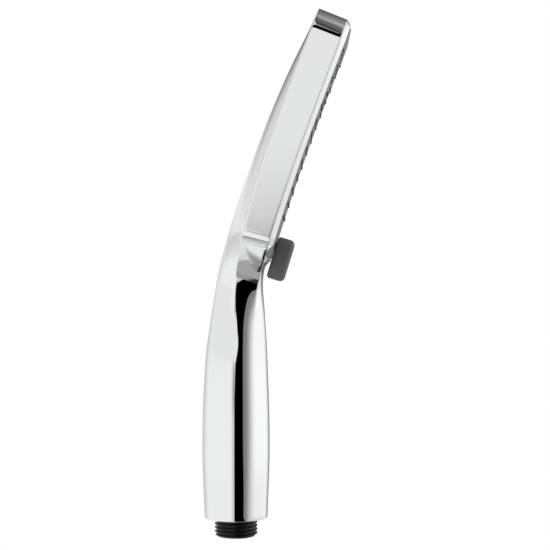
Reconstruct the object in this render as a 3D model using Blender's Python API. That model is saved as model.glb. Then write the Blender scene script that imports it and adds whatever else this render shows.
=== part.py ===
"""Handheld shower head: chrome body, spray face, jet selector lever and the waterway inside.

Every piece is first made on a straight spine, where +Z runs up the handle and into the head and the spray
face looks along -Y. Those that follow the body's curve are then bent along that spine. The origin is the centre
of the hose inlet's end face, and the spray face of the finished part looks along -Y, tipped downwards.
"""
import bpy
import bmesh
from math import acos, cos, floor, hypot, pi, radians, sin, tau
from mathutils import Matrix, Vector

MM = 0.001
GAP = 0.3 * MM                   # left between pieces that touch
SIDES = 40                       # facets round the large round pieces
SMALL_SIDES = 16                 # facets round the small ones

# spine: straight up the handle, a short bend in the neck, then the long gentle curve of the head
NECK_BEND_START = 116.3 * MM
NECK_BEND_RADIUS = 64.0 * MM
NECK_BEND_ANGLE = radians(16.5)
NECK_BEND_END = NECK_BEND_START + NECK_BEND_RADIUS * NECK_BEND_ANGLE
HEAD_CURVE_RADIUS = 1167.0 * MM

# outer shape of the body, measured along the spine from the inlet's end face
HANDLE_END = 9.0 * MM
HEAD_END = 259.4 * MM
HEAD_HALF_WIDTH = 36.0 * MM
HEAD_CORNER = 14.0 * MM
RIM_FRONT = 11.4 * MM            # how far the front edge of the head's flat sides stands before the spine
LIP_RISE = 2.2 * MM              # the sloping lip round the spray face, from that edge inwards
LIP_WIDTH = 3.0 * MM
SQUARING_START = 100.0 * MM       # where the round handle starts turning into the flat-sided head
SHOULDER_START = 121.0 * MM
SHOULDER_END = 146.0 * MM
SHOULDER_POWER = 1.8             # how hollow the shoulders are
NECK_HALF_WIDTH = 12.0 * MM
EDGE = 0.8 * MM
WALL = 1.8 * MM
BACK_PROFILE = (                 # (along the spine, back surface behind it)
    (HANDLE_END, 15.4 * MM), (45 * MM, 16.5 * MM), (86 * MM, 15.0 * MM), (109 * MM, 11.9 * MM),
    (122 * MM, 9.9 * MM), (133 * MM, 9.6 * MM), (150 * MM, 9.8 * MM), (195 * MM, 9.4 * MM),
    (230 * MM, 7.6 * MM), (HEAD_END, 4.4 * MM))
FRONT_PROFILE = (                # (along the spine, front surface before it)
    (HANDLE_END, 15.4 * MM), (45 * MM, 16.5 * MM), (86 * MM, 15.4 * MM), (109 * MM, 14.1 * MM),
    (122 * MM, 13.0 * MM), (133 * MM, 12.0 * MM), (150 * MM, RIM_FRONT), (240 * MM, RIM_FRONT),
    (HEAD_END, RIM_FRONT - 0.9 * MM))
WIDTH_PROFILE = (                # (along the spine, half width of the handle and neck)
    (HANDLE_END, 15.4 * MM), (45 * MM, 16.5 * MM), (86 * MM, 14.8 * MM), (100 * MM, 13.0 * MM),
    (109 * MM, 12.2 * MM), (SHOULDER_START, NECK_HALF_WIDTH))
SIDE_BAND = (                    # (along the spine, height of the head's flat sides)
    (SHOULDER_END, 13.2 * MM), (160 * MM, 14.4 * MM), (180 * MM, 14.9 * MM), (230 * MM, 15.0 * MM),
    (HEAD_END, 14.6 * MM))

# spray face
FACE_START = 139.5 * MM          # lower edge of the opening in the head's front
FACE_END = HEAD_END - LIP_WIDTH
FACE_HALF_WIDTH = HEAD_HALF_WIDTH - LIP_WIDTH
FACE_CORNER = HEAD_CORNER - LIP_WIDTH
FACE_FRONT = RIM_FRONT + LIP_RISE
FACE_PLATE = 1.8 * MM
MAT = 1.2 * MM
COVER = 2.2 * MM
FACE_BACK = FACE_FRONT - FACE_PLATE
MAT_FRONT = FACE_BACK - GAP
MAT_BACK = MAT_FRONT - MAT
COVER_FRONT = MAT_BACK - GAP
COVER_BACK = COVER_FRONT - COVER
MANIFOLD_FRONT = COVER_BACK - GAP
TRAY_BACK = 0.5 * MM
CHANNEL_BACK = TRAY_BACK + 1.4 * MM
NOZZLE_TIP = FACE_FRONT + 0.6 * MM
NOZZLE_RADIUS = 1.0 * MM
NOZZLE_SIDES = 6
NOZZLE_COLUMNS = 5
NOZZLE_PITCH_X = 12.0 * MM
NOZZLE_ROWS = 13
NOZZLE_PITCH_Z = 7.0 * MM
FIRST_ROW = 161.0 * MM

# jet selector
PIVOT = 146.5 * MM               # the selector's axis, along the spine
BARREL_RADIUS = 9.2 * MM
CHAMBER_RADIUS = BARREL_RADIUS + 0.4 * MM
CHAMBER_BACK = -4.4 * MM
DRUM_RADIUS = 12.3 * MM
DRUM_BACK = CHAMBER_BACK - 1.4 * MM
PORT_STEP = radians(30)
PORT_WIDTH = 3.0 * MM
SPINDLE_RADIUS = 2.0 * MM
LEVER_BACK = FACE_FRONT + 0.5 * MM
LEVER_FRONT = LEVER_BACK + 8.8 * MM
LEVER_END = 130.6 * MM
LEVER_BOSS = 5.0 * MM
LEVER_HALF_WIDTH = 6.5 * MM

# waterway
THREAD_RADIUS = 20.955 / 2 * MM  # G 1/2 pipe thread
THREAD_ROOT = 18.631 / 2 * MM
THREAD_PITCH = 25.4 / 14 * MM
THREAD_LENGTH = 8.6 * MM
INLET_BORE = 7.4 * MM
INLET_FIT = INLET_BORE - GAP     # radius of the pieces that sit in the inlet's bore
COLLAR_RADIUS = 13.2 * MM
COLLAR_TOP = 15.0 * MM
SLEEVE_RADIUS = 9.0 * MM
NIPPLE_TOP = 42.0 * MM
BORE_END = 31.0 * MM             # where the wide inlet bore steps down to the tube's
TUBE_RADIUS = 4.6 * MM
TUBE_BORE = 3.6 * MM
SOCKET_BORE = 5.8 * MM
TUBE_START = 33.0 * MM
TUBE_END = 133.0 * MM
SOCKET_START = 125.0 * MM
SOCKET_RADIUS = 7.3 * MM
SEAT_TOP = 11.5 * MM             # height of the one-way valve's seat
VALVE_TOP = 26.0 * MM

# massage turbine and fasteners
TURBINE_PLACE = 222.0 * MM
TURBINE_RADIUS = 7.0 * MM
TURBINE_POCKET = TURBINE_RADIUS + 0.8 * MM
SCREW_PLACES = ((-28 * MM, 172 * MM), (28 * MM, 172 * MM), (-28 * MM, 238 * MM), (28 * MM, 238 * MM))
SCREW_RADIUS = 1.2 * MM
SCREW_HEAD = 2.2 * MM
SCREW_TIP = -2.0 * MM


# ---------------------------------------------------------------- spine and sections

def smoothstep(low, high, value):
    t = min(1.0, max(0.0, (value - low) / (high - low)))
    return t * t * (3 - 2 * t)


def along(profile, place):
    """A smooth curve through the profile's points, flat beyond its ends."""
    if place <= profile[0][0]:
        return profile[0][1]
    if place >= profile[-1][0]:
        return profile[-1][1]
    slopes = []
    for i in range(len(profile)):
        a = profile[max(0, i - 1)]
        b = profile[min(len(profile) - 1, i + 1)]
        slopes.append((b[1] - a[1]) / (b[0] - a[0]))
    i = max(k for k in range(len(profile) - 1) if profile[k][0] <= place)
    (x0, y0), (x1, y1) = profile[i], profile[i + 1]
    h = x1 - x0
    t = (place - x0) / h
    return (y0 * (1 + 2 * t) * (1 - t) ** 2 + slopes[i] * h * t * (1 - t) ** 2
            + y1 * t * t * (3 - 2 * t) + slopes[i + 1] * h * t * t * (t - 1))


def spine(place):
    """Forward offset, height and tilt of the spine at a place along it."""
    if place <= NECK_BEND_START:
        return 0.0, place, 0.0
    tilt = min(place - NECK_BEND_START, NECK_BEND_END - NECK_BEND_START) / NECK_BEND_RADIUS
    forward = NECK_BEND_RADIUS * (1 - cos(tilt))
    height = NECK_BEND_START + NECK_BEND_RADIUS * sin(tilt)
    if place > NECK_BEND_END:
        start = tilt
        tilt = start + (place - NECK_BEND_END) / HEAD_CURVE_RADIUS
        forward += HEAD_CURVE_RADIUS * (cos(start) - cos(tilt))
        height += HEAD_CURVE_RADIUS * (sin(tilt) - sin(start))
    return forward, height, tilt


def bent(point):
    """Where a point on the straight spine goes when the spine is bent."""
    forward, height, tilt = spine(point.z)
    return Vector((point.x, point.y * cos(tilt) - forward, height + point.y * sin(tilt)))


def frame_at(place):
    """The rigid move that carries pieces near a place on the straight spine to the bent one."""
    forward, height, tilt = spine(place)
    move = Matrix.Translation((0, -forward, height)) @ Matrix.Rotation(tilt, 4, "X")
    return move @ Matrix.Translation((0, 0, -place))


def half_width(place):
    """Half of the body's width: handle and neck, the shoulders, the head and its rounded top corners."""
    rise = min(1.0, max(0.0, (place - SHOULDER_START) / (SHOULDER_END - SHOULDER_START)))
    shoulder = rise ** SHOULDER_POWER
    width = along(WIDTH_PROFILE, place) + (HEAD_HALF_WIDTH - NECK_HALF_WIDTH) * shoulder
    past = place - (HEAD_END - HEAD_CORNER)
    if past > 0:
        width -= HEAD_CORNER - (max(0.0, HEAD_CORNER ** 2 - past ** 2)) ** 0.5
    return width


def lip_rise(place):
    """How far the lip stands before the front edge: none in the neck or at the head's very end."""
    ends = min(1.0, max(0.0, (HEAD_END - place) / LIP_WIDTH))
    return LIP_RISE * ends * smoothstep(FACE_START - 5 * MM, FACE_START + 1 * MM, place)


def section(place, inset=0.0):
    """The body's outline across the spine: round in the handle, flat sides and a crowned back in the head."""
    box = smoothstep(SQUARING_START, SHOULDER_END, place)
    width = half_width(place) - inset
    front = along(FRONT_PROFILE, place) - inset
    back = along(BACK_PROFILE, place) - inset
    band = along(SIDE_BAND, place) - 2 * inset
    crown = max(0.0, back + front - band)
    half = []
    for i in range(5):
        half.append((pi / 4 * i / 5, (width - LIP_WIDTH) * i / 4, front + lip_rise(place)))
    half.append((pi / 4, width - EDGE, front))
    for i in range(4):
        half.append((pi / 4 + pi / 4 * (i + 0.4) / 3, width, front - EDGE - (band - EDGE) * i / 3))
    for i in range(1, 9):
        x = width * (1 - i / 8)
        half.append((pi / 2 + pi / 30 + (pi / 2 - pi / 30) * i / 8, x, crown * (x / width) ** 2 - back))
    points = []
    for angle, x, v in half:
        round_v = (front if cos(angle) > 0 else back) * cos(angle)
        points.append((width * sin(angle) * (1 - box) + x * box, round_v * (1 - box) + v * box))
    return points + [(-x, v) for x, v in reversed(points[1:-1])]


# ---------------------------------------------------------------- mesh helpers

def new_piece(name, points, faces):
    mesh = bpy.data.meshes.new(name)
    mesh.from_pydata([tuple(p) for p in points], [], faces)
    piece = bpy.data.objects.new(name, mesh)
    bpy.context.scene.collection.objects.link(piece)
    return tidy(piece)


def tidy(piece):
    """Joins doubled points and turns every face outwards."""
    work = bmesh.new()
    work.from_mesh(piece.data)
    bmesh.ops.remove_doubles(work, verts=work.verts, dist=1e-6)
    bmesh.ops.dissolve_degenerate(work, edges=work.edges, dist=1e-6)
    bmesh.ops.recalc_face_normals(work, faces=work.faces)
    work.to_mesh(piece.data)
    work.free()
    return piece


def stacked(name, rings, closed=False):
    """A skin over rings of equally many points, capped at both ends or closed on itself."""
    count = len(rings[0])
    points = [p for ring in rings for p in ring]
    faces = []
    for i in range(len(rings) if closed else len(rings) - 1):
        a = i * count
        b = (i + 1) % len(rings) * count
        for j in range(count):
            k = (j + 1) % count
            faces.append((a + j, a + k, b + k, b + j))
    if not closed:
        faces.append(tuple(range(count)))
        faces.append(tuple((len(rings) - 1) * count + j for j in range(count)))
    return new_piece(name, points, faces)


def lathe(name, profile, sides=SMALL_SIDES, solid=False):
    """A profile of (radius, height) points turned round Z: a ring, or a solid with a cap at each end."""
    rings = []
    for radius, height in profile:
        rings.append([(radius * cos(tau * j / sides), radius * sin(tau * j / sides), height)
                      for j in range(sides)])
    return stacked(name, rings, closed=not solid)


def rod(name, radius, low, high, sides=SMALL_SIDES):
    return lathe(name, ((radius, low), (radius, high)), sides, solid=True)


def pipe(name, bore, radius, low, high, sides=SMALL_SIDES):
    return lathe(name, ((bore, low), (radius, low), (radius, high), (bore, high)), sides)


def o_ring(name, radius, wire, height, sides=SMALL_SIDES):
    corners = 6
    return lathe(name, [(radius + wire * cos(tau * k / corners), height + wire * sin(tau * k / corners))
                        for k in range(corners)], sides)


def block(name, low, high):
    corners = [(x, y, z) for x in (low[0], high[0]) for y in (low[1], high[1]) for z in (low[2], high[2])]
    return new_piece(name, corners, [(0, 1, 3, 2), (4, 6, 7, 5), (0, 4, 5, 1), (2, 3, 7, 6),
                                     (0, 2, 6, 4), (1, 5, 7, 3)])


def rounded_outline(half, low, high, corner, steps=5):
    """A rounded rectangle of (x, z) points across the spray face."""
    points = []
    for x, z, start in ((half - corner, high - corner, 0), (corner - half, high - corner, 1),
                        (corner - half, low + corner, 2), (half - corner, low + corner, 3)):
        for k in range(steps + 1):
            angle = pi / 2 * (start + k / steps)
            points.append((x + corner * cos(angle), z + corner * sin(angle)))
    return points


def slab(name, outline, back, front):
    """An outline across the face made solid between two distances before the spine."""
    return stacked(name, [[(x, -v, z) for x, z in outline] for v in (back, front)])


def face_plate_slab(name, inset, back, front, low=FACE_START):
    outline = rounded_outline(FACE_HALF_WIDTH - inset, low + inset, FACE_END - inset, FACE_CORNER - inset)
    return slab(name, outline, back, front)


def toward_face(piece, x=0.0, place=PIVOT):
    """Turns a piece made along Z to stand along the face's normal, heights counted before the spine."""
    piece.data.transform(Matrix.Translation((x, 0, place)) @ Matrix.Rotation(pi / 2, 4, "X"))
    return piece


def combine(piece, other, operation):
    """Applies one exact Boolean and takes the second piece away."""
    other.hide_render = True
    other.display_type = "WIRE"
    step = piece.modifiers.new(operation.lower(), "BOOLEAN")
    step.operation = operation
    step.solver = "EXACT"
    step.object = other
    bpy.context.view_layer.update()
    shape = bpy.data.meshes.new_from_object(piece.evaluated_get(bpy.context.evaluated_depsgraph_get()))
    piece.modifiers.clear()
    piece.data = shape
    bpy.data.objects.remove(other)
    return tidy(piece)


def cut(piece, *others):
    for other in others:
        combine(piece, other, "DIFFERENCE")
    return piece


def add(piece, *others):
    for other in others:
        combine(piece, other, "UNION")
    return piece


def spine_levels():
    """Places along the spine where bent pieces need a row of points."""
    levels = [NECK_BEND_START + (NECK_BEND_END - NECK_BEND_START) * k / 6 for k in range(7)]
    levels += [NECK_BEND_END + (HEAD_END - NECK_BEND_END) * k / 6 for k in range(1, 6)]
    return levels


def bend(piece):
    """Bends a finished piece along the spine, with rows of points wherever the spine curves."""
    work = bmesh.new()
    work.from_mesh(piece.data)
    low = min(v.co.z for v in work.verts)
    high = max(v.co.z for v in work.verts)
    for level in spine_levels():
        if low + GAP < level < high - GAP:
            parts = work.verts[:] + work.edges[:] + work.faces[:]
            bmesh.ops.bisect_plane(work, geom=parts, dist=2e-6, plane_co=(0, 0, level), plane_no=(0, 0, 1))
    bmesh.ops.triangulate(work, faces=[f for f in work.faces if len(f.verts) > 4])
    for vert in work.verts:
        vert.co = bent(vert.co)
    work.to_mesh(piece.data)
    work.free()
    return piece


def stand(piece, place):
    """Sets a stiff piece on the bent spine and puts its origin on its axis there."""
    piece.data.transform(Matrix.Translation((0, 0, -place)))
    piece.matrix_world = frame_at(place) @ Matrix.Translation((0, 0, place))
    return piece


def finish(piece, colour, roughness=0.4, metallic=0.0, smooth=30):
    """Gives a piece its own material and shades its round surfaces smooth."""
    material = bpy.data.materials.new(piece.name + "_finish")
    material.use_nodes = True
    shader = material.node_tree.nodes["Principled BSDF"]
    shader.inputs["Base Color"].default_value = (*colour, 1)
    shader.inputs["Roughness"].default_value = roughness
    shader.inputs["Metallic"].default_value = metallic
    piece.data.materials.clear()
    piece.data.materials.append(material)
    piece.data.shade_smooth()
    piece.data.set_sharp_from_angle(angle=radians(smooth))
    return piece


def chrome(piece):
    return finish(piece, (0.86, 0.87, 0.88), 0.06, 1.0)


def steel(piece):
    return finish(piece, (0.55, 0.55, 0.56), 0.3, 1.0)


def rubber(piece, shade=0.03):
    return finish(piece, (shade, shade, shade), 0.7)


def plastic(piece, colour):
    return finish(piece, colour, 0.45)


# ---------------------------------------------------------------- body

def body_rows():
    rows = [HANDLE_END, HANDLE_END + EDGE]
    rows += [HANDLE_END + 15 * MM * k for k in range(1, 6)]
    rows += [92 * MM, 100 * MM, 108 * MM]
    rows += [NECK_BEND_START + (NECK_BEND_END - NECK_BEND_START) * k / 6 for k in range(7)]
    rows += [NECK_BEND_END + 2.5 * MM * k for k in range(1, 6)]
    flat_end = HEAD_END - HEAD_CORNER
    rows += [SHOULDER_END + 3 * MM + (flat_end - SHOULDER_END - 3 * MM) * k / 7 for k in range(8)]
    rows += [flat_end + HEAD_CORNER * sin(pi / 2 * k / 6) for k in range(1, 7)]
    return rows


def body_solid(name, inset, low, high):
    """The body's outer shape, or the same shape inset for the hollow inside it."""
    rows = [row for row in body_rows() if low + GAP < row < high - GAP]
    if inset:
        rows = rows[1::2]
    rings = []
    for row in [low] + rows + [high]:
        taken = inset
        if row <= HANDLE_END and not inset:
            taken = EDGE
        rings.append([(x, -v, row) for x, v in section(row, taken)])
    return stacked(name, rings)


def back_surface(x, place):
    """Where the head's crowned back stands, before (+) or behind (-) the spine."""
    back = along(BACK_PROFILE, place)
    crown = back + RIM_FRONT - along(SIDE_BAND, place)
    return crown * (x / HEAD_HALF_WIDTH) ** 2 - back


def body_shell():
    """Chrome housing of handle and head in one piece, open at the inlet and at the spray face."""
    shell = body_solid("body_shell", 0.0, HANDLE_END, HEAD_END)
    hollow = body_solid("hollow", WALL, HANDLE_END - GAP, HEAD_END - WALL)
    cut(shell, hollow)
    for x, place in SCREW_PLACES:
        foot = back_surface(x, place) + WALL / 2
        pilot = SCREW_RADIUS + 0.1 * MM
        add(shell, toward_face(rod("post", 3.0 * MM, foot, TRAY_BACK - GAP, 12), x, place))
        cut(shell, toward_face(rod("pilot", pilot, SCREW_TIP - 0.5 * MM, TRAY_BACK + GAP, 12), x, place))
    cut(shell, face_plate_slab("mouth", 0.0, MANIFOLD_FRONT - GAP, FACE_FRONT + 4 * MM))
    return chrome(bend(shell))


# ---------------------------------------------------------------- inlet and waterway

def thread_height(turns):
    """Outer radius of the pipe thread at a fraction of one turn: rounded crest and root."""
    phase = turns - floor(turns)
    wave = 0.5 + 0.5 * cos(tau * phase)
    lift = min(1.0, max(0.0, 1.5 * wave - 0.25))
    return THREAD_ROOT + (THREAD_RADIUS - THREAD_ROOT) * lift


def inlet_nipple():
    """Threaded inlet with a collar in the handle's end and a socket for the tube above."""
    sides = 28
    rings = []
    rows_per_turn = 5
    rows = int(THREAD_LENGTH / THREAD_PITCH * rows_per_turn)
    lead = 1.0 * MM
    for i in range(rows + 1):
        height = THREAD_LENGTH * i / rows
        ring = []
        for j in range(sides):
            fade = min(1.0, height / lead, (THREAD_LENGTH - height) / lead)
            crest = thread_height(height / THREAD_PITCH - j / sides)
            radius = THREAD_ROOT + (crest - THREAD_ROOT) * max(0.0, fade)
            ring.append((radius * cos(tau * j / sides), radius * sin(tau * j / sides), height))
        rings.append(ring)
    foot = HANDLE_END + 0.4 * MM
    ledge = TUBE_START - GAP
    for radius, height in (
            (THREAD_ROOT, foot), (COLLAR_RADIUS, foot), (COLLAR_RADIUS, COLLAR_TOP), (SLEEVE_RADIUS, COLLAR_TOP),
            (SLEEVE_RADIUS, NIPPLE_TOP), (SOCKET_BORE, NIPPLE_TOP), (SOCKET_BORE, ledge), (TUBE_BORE, ledge),
            (TUBE_BORE, BORE_END), (INLET_BORE, BORE_END), (INLET_BORE, 0)):
        rings.append([(radius * cos(tau * j / sides), radius * sin(tau * j / sides), height)
                      for j in range(sides)])
    return plastic(stacked("inlet_nipple", rings, closed=True), (0.012, 0.012, 0.013))


def inlet_parts():
    """Lock ring over the collar; seal, filter screen and flow regulator in the order the water meets them."""
    ring_low = COLLAR_TOP + GAP
    steel(pipe("inlet_lock_ring", SLEEVE_RADIUS + GAP, COLLAR_RADIUS, ring_low, ring_low + 1.5 * MM, SIDES))
    rubber(pipe("hose_washer_seal", INLET_FIT - 1.0 * MM, INLET_FIT, 0.2 * MM, 1.3 * MM))
    frame = pipe("inlet_filter_screen", INLET_FIT - 1.2 * MM, INLET_FIT, 1.6 * MM, 3.0 * MM)
    screen = add(frame, rod("mesh", INLET_FIT - 1.0 * MM, 2.0 * MM, 2.4 * MM))
    holes = []
    for radius, count in ((0.31 * INLET_FIT, 6), (0.65 * INLET_FIT, 12)):
        for k in range(count):
            hole = rod("hole", 0.105 * INLET_FIT, 1.0 * MM, 4.0 * MM, 8)
            angle = tau * k / count
            hole.data.transform(Matrix.Translation((radius * cos(angle), radius * sin(angle), 0)))
            holes.append(hole)
    steel(cut(screen, merged("holes", holes)))
    cup = 0.55 * INLET_FIT
    throat = 0.31 * INLET_FIT
    regulator = lathe("flow_regulator_body", (
        (INLET_FIT, 3.3 * MM), (INLET_FIT, 8.0 * MM), (cup, 8.0 * MM), (cup, 5.4 * MM),
        (throat, 5.4 * MM), (throat, 3.3 * MM)))
    plastic(regulator, (0.75, 0.72, 0.2))
    rubber(o_ring("flow_regulator_ring", (cup + throat) / 2, 0.55 * MM, 6.3 * MM))


def check_valve():
    """One-way valve in the inlet: a poppet that the flow lifts against its spring."""
    bore = INLET_FIT - 1.2 * MM
    seat = bore - 2.5 * MM
    disc = bore - 0.9 * MM
    stem = 1.2 * MM
    plastic(lathe("check_valve_body", (
        (INLET_FIT, 8.3 * MM), (INLET_FIT, VALVE_TOP), (bore, VALVE_TOP), (bore, SEAT_TOP),
        (seat, SEAT_TOP - 1.3 * MM), (seat, 8.3 * MM))), (0.85, 0.86, 0.9))
    poppet = lathe("check_valve_poppet", (
        (disc - 2.4 * MM, SEAT_TOP - 1.3 * MM), (disc, SEAT_TOP), (disc, SEAT_TOP + 1.1 * MM),
        (stem, SEAT_TOP + 1.1 * MM), (stem, VALVE_TOP + 2.5 * MM)), solid=True)
    plastic(poppet, (0.1, 0.2, 0.55))
    low = VALVE_TOP + GAP
    high = low + 1.7 * MM
    guide = pipe("check_valve_guide", stem + GAP, stem + 1.4 * MM, low, low + 3.2 * MM)
    for k in range(3):
        arm = block("arm", (stem + 1.0 * MM, -0.7 * MM, low), (INLET_FIT - 1.1 * MM, 0.7 * MM, high))
        arm.data.transform(Matrix.Rotation(tau * k / 3, 4, "Z"))
        add(guide, arm)
    add(guide, pipe("rim", INLET_FIT - 1.5 * MM, INLET_FIT, low, high))
    plastic(guide, (0.85, 0.86, 0.9))
    coil("check_valve_spring", stem + 1.4 * MM, 0.3 * MM, SEAT_TOP + 1.4 * MM, VALVE_TOP, 5)


def coil(name, radius, wire, low, high, turns):
    """A compression spring round Z, its ends cut square."""
    per_turn = 10
    corners = 5
    rings = []
    for i in range(turns * per_turn + 1):
        angle = tau * i / per_turn
        height = low + wire + (high - low - 2 * wire) * i / (turns * per_turn)
        ring = []
        for k in range(corners):
            out = radius + wire * cos(tau * k / corners)
            ring.append((out * cos(angle), out * sin(angle), height + wire * sin(tau * k / corners)))
        rings.append(ring)
    return steel(stacked(name, rings))


def waterway_tube():
    tube = pipe("waterway_tube", TUBE_BORE, TUBE_RADIUS, TUBE_START, TUBE_END)
    plastic(bend(tube), (0.9, 0.9, 0.88))
    middle = (TUBE_RADIUS + SOCKET_BORE) / 2
    rubber(o_ring("tube_seal_lower", middle, 0.4 * MM, 37.5 * MM))
    rubber(bend(o_ring("tube_seal_upper", middle, 0.4 * MM, 129.0 * MM)))


def tube_support():
    """Ring that holds the tube in the middle of the handle."""
    place = (NIPPLE_TOP + SHOULDER_START) / 2 - 6 * MM
    low = place - 3 * MM
    high = place + 3 * MM
    hub = TUBE_RADIUS + 2.4 * MM
    wall = along(BACK_PROFILE, high) - WALL - 0.5 * MM
    ring = pipe("tube_support", TUBE_RADIUS + GAP, hub, low, high)
    for k in range(3):
        arm = block("arm", (hub - 0.4 * MM, -1.0 * MM, low), (wall, 1.0 * MM, high))
        arm.data.transform(Matrix.Rotation(tau * (k + 0.25) / 3, 4, "Z"))
        add(ring, arm)
    plastic(ring, (0.3, 0.3, 0.32))


# ---------------------------------------------------------------- head

def manifold_body():
    """Moulding with the tube's socket, the selector's chamber and the water channels to the spray face."""
    tray_low = PIVOT + 8 * MM
    outline = rounded_outline(FACE_HALF_WIDTH - GAP, tray_low, FACE_END - GAP, 8 * MM)
    body = slab("manifold_body", outline, TRAY_BACK, MANIFOLD_FRONT)
    add(body, toward_face(rod("drum", DRUM_RADIUS, DRUM_BACK, MANIFOLD_FRONT, SIDES)))
    add(body, rod("socket", SOCKET_RADIUS, SOCKET_START, PIVOT - CHAMBER_RADIUS, SMALL_SIDES))
    cut(body, rod("socket_bore", SOCKET_BORE, SOCKET_START - GAP, TUBE_END + GAP))
    cut(body, rod("passage", TUBE_BORE, TUBE_END - GAP, PIVOT, 16))
    cut(body, toward_face(rod("chamber", CHAMBER_RADIUS, CHAMBER_BACK, MANIFOLD_FRONT + GAP, SIDES)))
    top = MANIFOLD_FRONT + GAP
    lane = PORT_WIDTH / 2
    side_in = 17 * MM
    side_out = 24 * MM
    side_low = PIVOT + 14.5 * MM
    side_high = FACE_END - 6.4 * MM
    centre_low = side_low + 3 * MM
    centre_high = centre_low + 20 * MM
    pockets = (
        (-side_out, side_low, -side_in, side_high), (side_in, side_low, side_out, side_high),
        (-side_in - GAP, side_high - 7 * MM, side_in + GAP, side_high),
        (-13 * MM, centre_low, 13 * MM, centre_high),
        (-lane, PIVOT + 8.5 * MM, lane, centre_low + 2 * MM))
    for x0, z0, x1, z1 in pockets:
        cut(body, block("pocket", (x0, -top, z0), (x1, -CHANNEL_BACK, z1)))
    for side in (-1, 1):
        port = BARREL_RADIUS - 0.7 * MM
        start = Vector((side * sin(PORT_STEP) * port, 0, PIVOT + cos(PORT_STEP) * port))
        goal = Vector((side * (side_in + side_out) / 2, 0, side_low + 4 * MM))
        lane_box = block("lane", (-lane, -top, 0), (lane, -CHANNEL_BACK, (goal - start).length))
        turn = Matrix.Rotation(side * acos((goal.z - start.z) / (goal - start).length), 4, "Y")
        lane_box.data.transform(Matrix.Translation(start) @ turn)
        cut(body, lane_box)
    cut(body, toward_face(rod("turbine_pocket", TURBINE_POCKET, CHANNEL_BACK, top, SIDES), 0, TURBINE_PLACE))
    feed_end = TURBINE_PLACE - TURBINE_RADIUS
    cut(body, block("feed", (-lane, -top, centre_high - 1 * MM), (lane, -CHANNEL_BACK, feed_end)))
    for x, place in SCREW_PLACES:
        cut(body, toward_face(rod("screw_hole", SCREW_RADIUS + GAP, -1 * MM, top, 12), x, place))
    return plastic(bend(body), (0.8, 0.8, 0.78))


def nozzle_places():
    """Centres of the spray nozzles: straight rows, every second one set in by half a pitch."""
    places = []
    for row in range(NOZZLE_ROWS):
        inner = row % 2
        for column in range(NOZZLE_COLUMNS - inner):
            x = (column - (NOZZLE_COLUMNS - inner - 1) / 2) * NOZZLE_PITCH_X
            place = FIRST_ROW + row * NOZZLE_PITCH_Z
            if hypot(x, place - TURBINE_PLACE) > TURBINE_RADIUS + 3 * MM:
                places.append((x, place))
    return places


def massage_places():
    """Centres of the ring of jets before the turbine."""
    ring = TURBINE_RADIUS - 2.5 * MM
    return [(ring * cos(tau * k / 6), TURBINE_PLACE + ring * sin(tau * k / 6)) for k in range(6)]


def manifold_cover():
    """Plate over the water channels, with a hole behind every nozzle."""
    cover = face_plate_slab("manifold_cover", GAP, COVER_BACK, COVER_FRONT)
    low = COVER_BACK - GAP
    high = COVER_FRONT + GAP
    holes = [toward_face(rod("hole", 0.9 * MM, low, high, 4), x, place)
             for x, place in nozzle_places() + massage_places()]
    for x, place in SCREW_PLACES:
        shank = SCREW_RADIUS + GAP
        head = SCREW_HEAD + GAP
        seat = COVER_FRONT - 1.2 * MM
        sink = lathe("sink", ((shank, low), (shank, seat), (head, seat), (head, high)), 16, solid=True)
        holes.append(toward_face(sink, x, place))
    bore = SPINDLE_RADIUS + GAP
    pocket = bore + 1.1 * MM
    step = COVER_BACK + 1.3 * MM
    passage = lathe("passage", ((pocket, low), (pocket, step), (bore, step), (bore, high)), solid=True)
    holes.append(toward_face(passage))
    cut(cover, merged("holes", holes))
    return plastic(bend(cover), (0.8, 0.8, 0.78))


def nozzle(x, place):
    """One silicone nozzle: a hollow cone through the face plate."""
    tip = NOZZLE_RADIUS * 0.72
    cone = lathe("nozzle", ((NOZZLE_RADIUS, MAT_BACK + 0.2 * MM), (NOZZLE_RADIUS, FACE_FRONT),
                            (tip, NOZZLE_TIP)), NOZZLE_SIDES, solid=True)
    return toward_face(cone, x, place)


def merged(name, pieces):
    """Separate closed pieces gathered in one mesh, for a single Boolean."""
    work = bmesh.new()
    for piece in pieces:
        work.from_mesh(piece.data)
        bpy.data.objects.remove(piece)
    mesh = bpy.data.meshes.new(name)
    work.to_mesh(mesh)
    work.free()
    joined = bpy.data.objects.new(name, mesh)
    bpy.context.scene.collection.objects.link(joined)
    return joined


def nozzle_mat():
    mat = face_plate_slab("nozzle_mat", 2.0 * MM, MAT_BACK, MAT_FRONT, PIVOT + 6 * MM)
    places = nozzle_places() + massage_places()
    add(mat, merged("cones", [nozzle(x, place) for x, place in places]))
    bores = [toward_face(rod("bore", 0.4 * MM, MAT_BACK - GAP, NOZZLE_TIP + GAP, 4), x, place)
             for x, place in places]
    cut(mat, merged("bores", bores))
    return rubber(bend(mat), 0.2)


def face_plate():
    """Grey plate that the nozzles stand through, its edge rounded over."""
    plate = face_plate_slab("face_plate", GAP, FACE_BACK, FACE_FRONT - 0.6 * MM)
    add(plate, face_plate_slab("crown", GAP + 0.6 * MM, FACE_BACK + 0.5 * MM, FACE_FRONT))
    low = FACE_BACK - GAP
    high = FACE_FRONT + GAP
    holes = [toward_face(rod("hole", NOZZLE_RADIUS + 0.25 * MM, low, high, NOZZLE_SIDES), x, place)
             for x, place in nozzle_places() + massage_places()]
    holes.append(toward_face(rod("bore", SPINDLE_RADIUS + GAP, low, high)))
    cut(plate, merged("holes", holes))
    return plastic(bend(plate), (0.5, 0.51, 0.52))


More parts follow.
